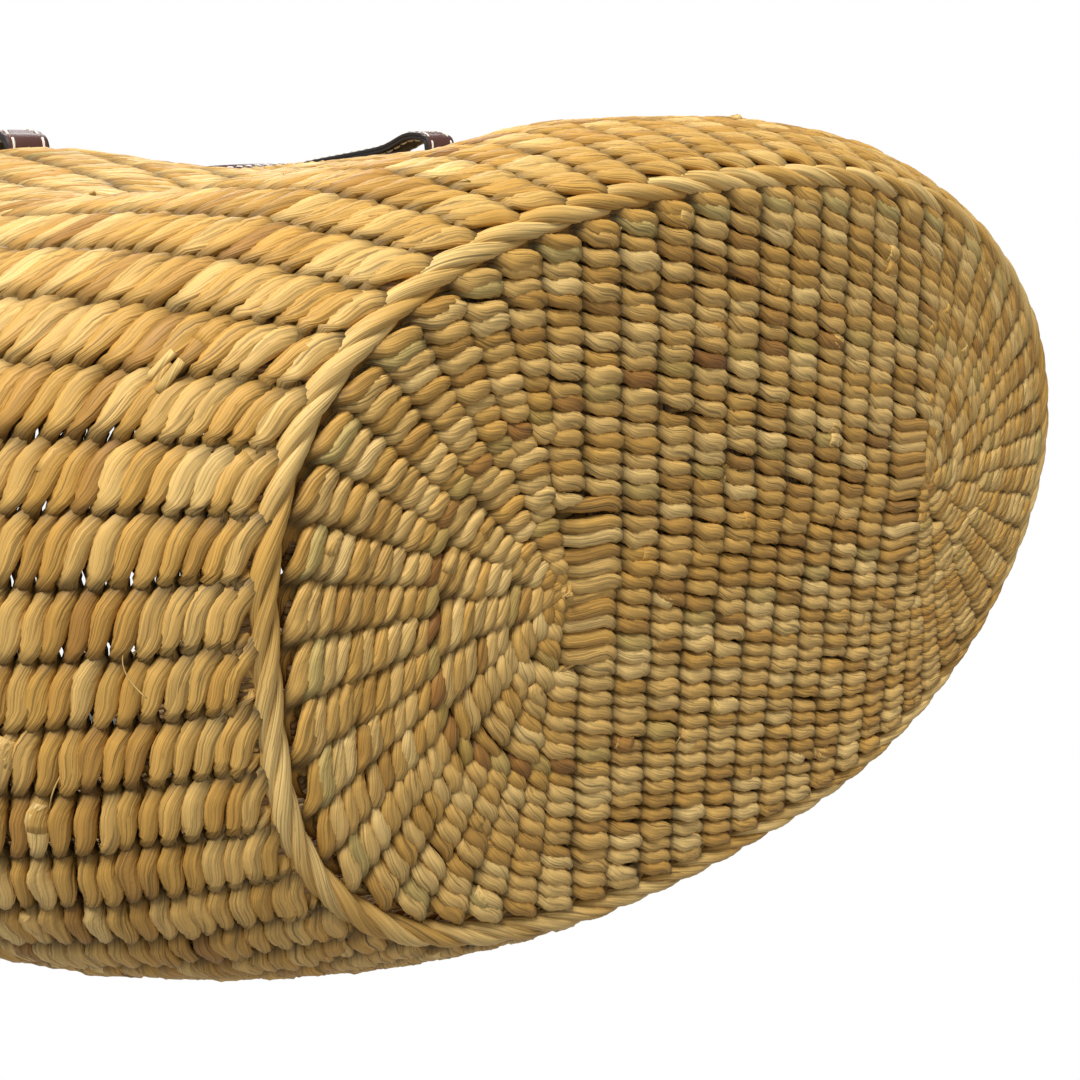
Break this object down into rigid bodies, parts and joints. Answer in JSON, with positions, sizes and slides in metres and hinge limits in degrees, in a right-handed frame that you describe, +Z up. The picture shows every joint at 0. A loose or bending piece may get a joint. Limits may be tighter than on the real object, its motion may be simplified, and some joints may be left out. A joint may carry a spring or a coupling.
{
  "type": "beach bag",
  "caption": "Oval beach bag twined from natural grass, with a flared wall, a rope ridge round the base, a rolled mouth border and two stitched leather strap handles that swing.",
  "frame": {"origin": "the middle of the base's underside, where the two main directions of the base cross", "axes": "+X runs along the base's length, the front face looks towards -Y, and +Z is up towards the mouth. The handles are stored raised, resting along the wall."},
  "size_m": [0.4856, 0.2346, 0.4317],
  "materials": {
    "grass": "dry twisted elephant grass, pale gold",
    "stake": "thin dry grass stems in bundles",
    "brown_leather": "smooth dark brown leather",
    "black_leather": "black dyed lining leather",
    "thread": "waxed off-white thread"
  },
  "bodies": {
    "basket": {"base_weave": "grass", "base_stakes": "stake", "foot_rope": "grass", "wall_weave": "grass", "wall_stakes": "stake", "mouth_border": "grass", "front_left_tail": "brown_leather", "front_right_tail": "brown_leather", "rear_left_tail": "brown_leather", "rear_right_tail": "brown_leather", "tail_stitching": "thread"},
    "front_handle": {"front_strap": "brown_leather", "front_lining": "black_leather", "front_stitching": "thread"},
    "rear_handle": {"rear_strap": "brown_leather", "rear_lining": "black_leather", "rear_stitching": "thread"}
  },
  "joints": [
    {"name": "front_handle_swing", "type": "hinge", "parent": "basket", "child": "front_handle", "pos_m": [0, -0.10558, 0.24075], "axis": [1, 0, 0], "range_deg": [0, 172]},
    {"name": "rear_handle_swing", "type": "hinge", "parent": "basket", "child": "rear_handle", "pos_m": [0, 0.11627, 0.24104], "axis": [-1, 0, 0], "range_deg": [0, 172]}
  ]
}
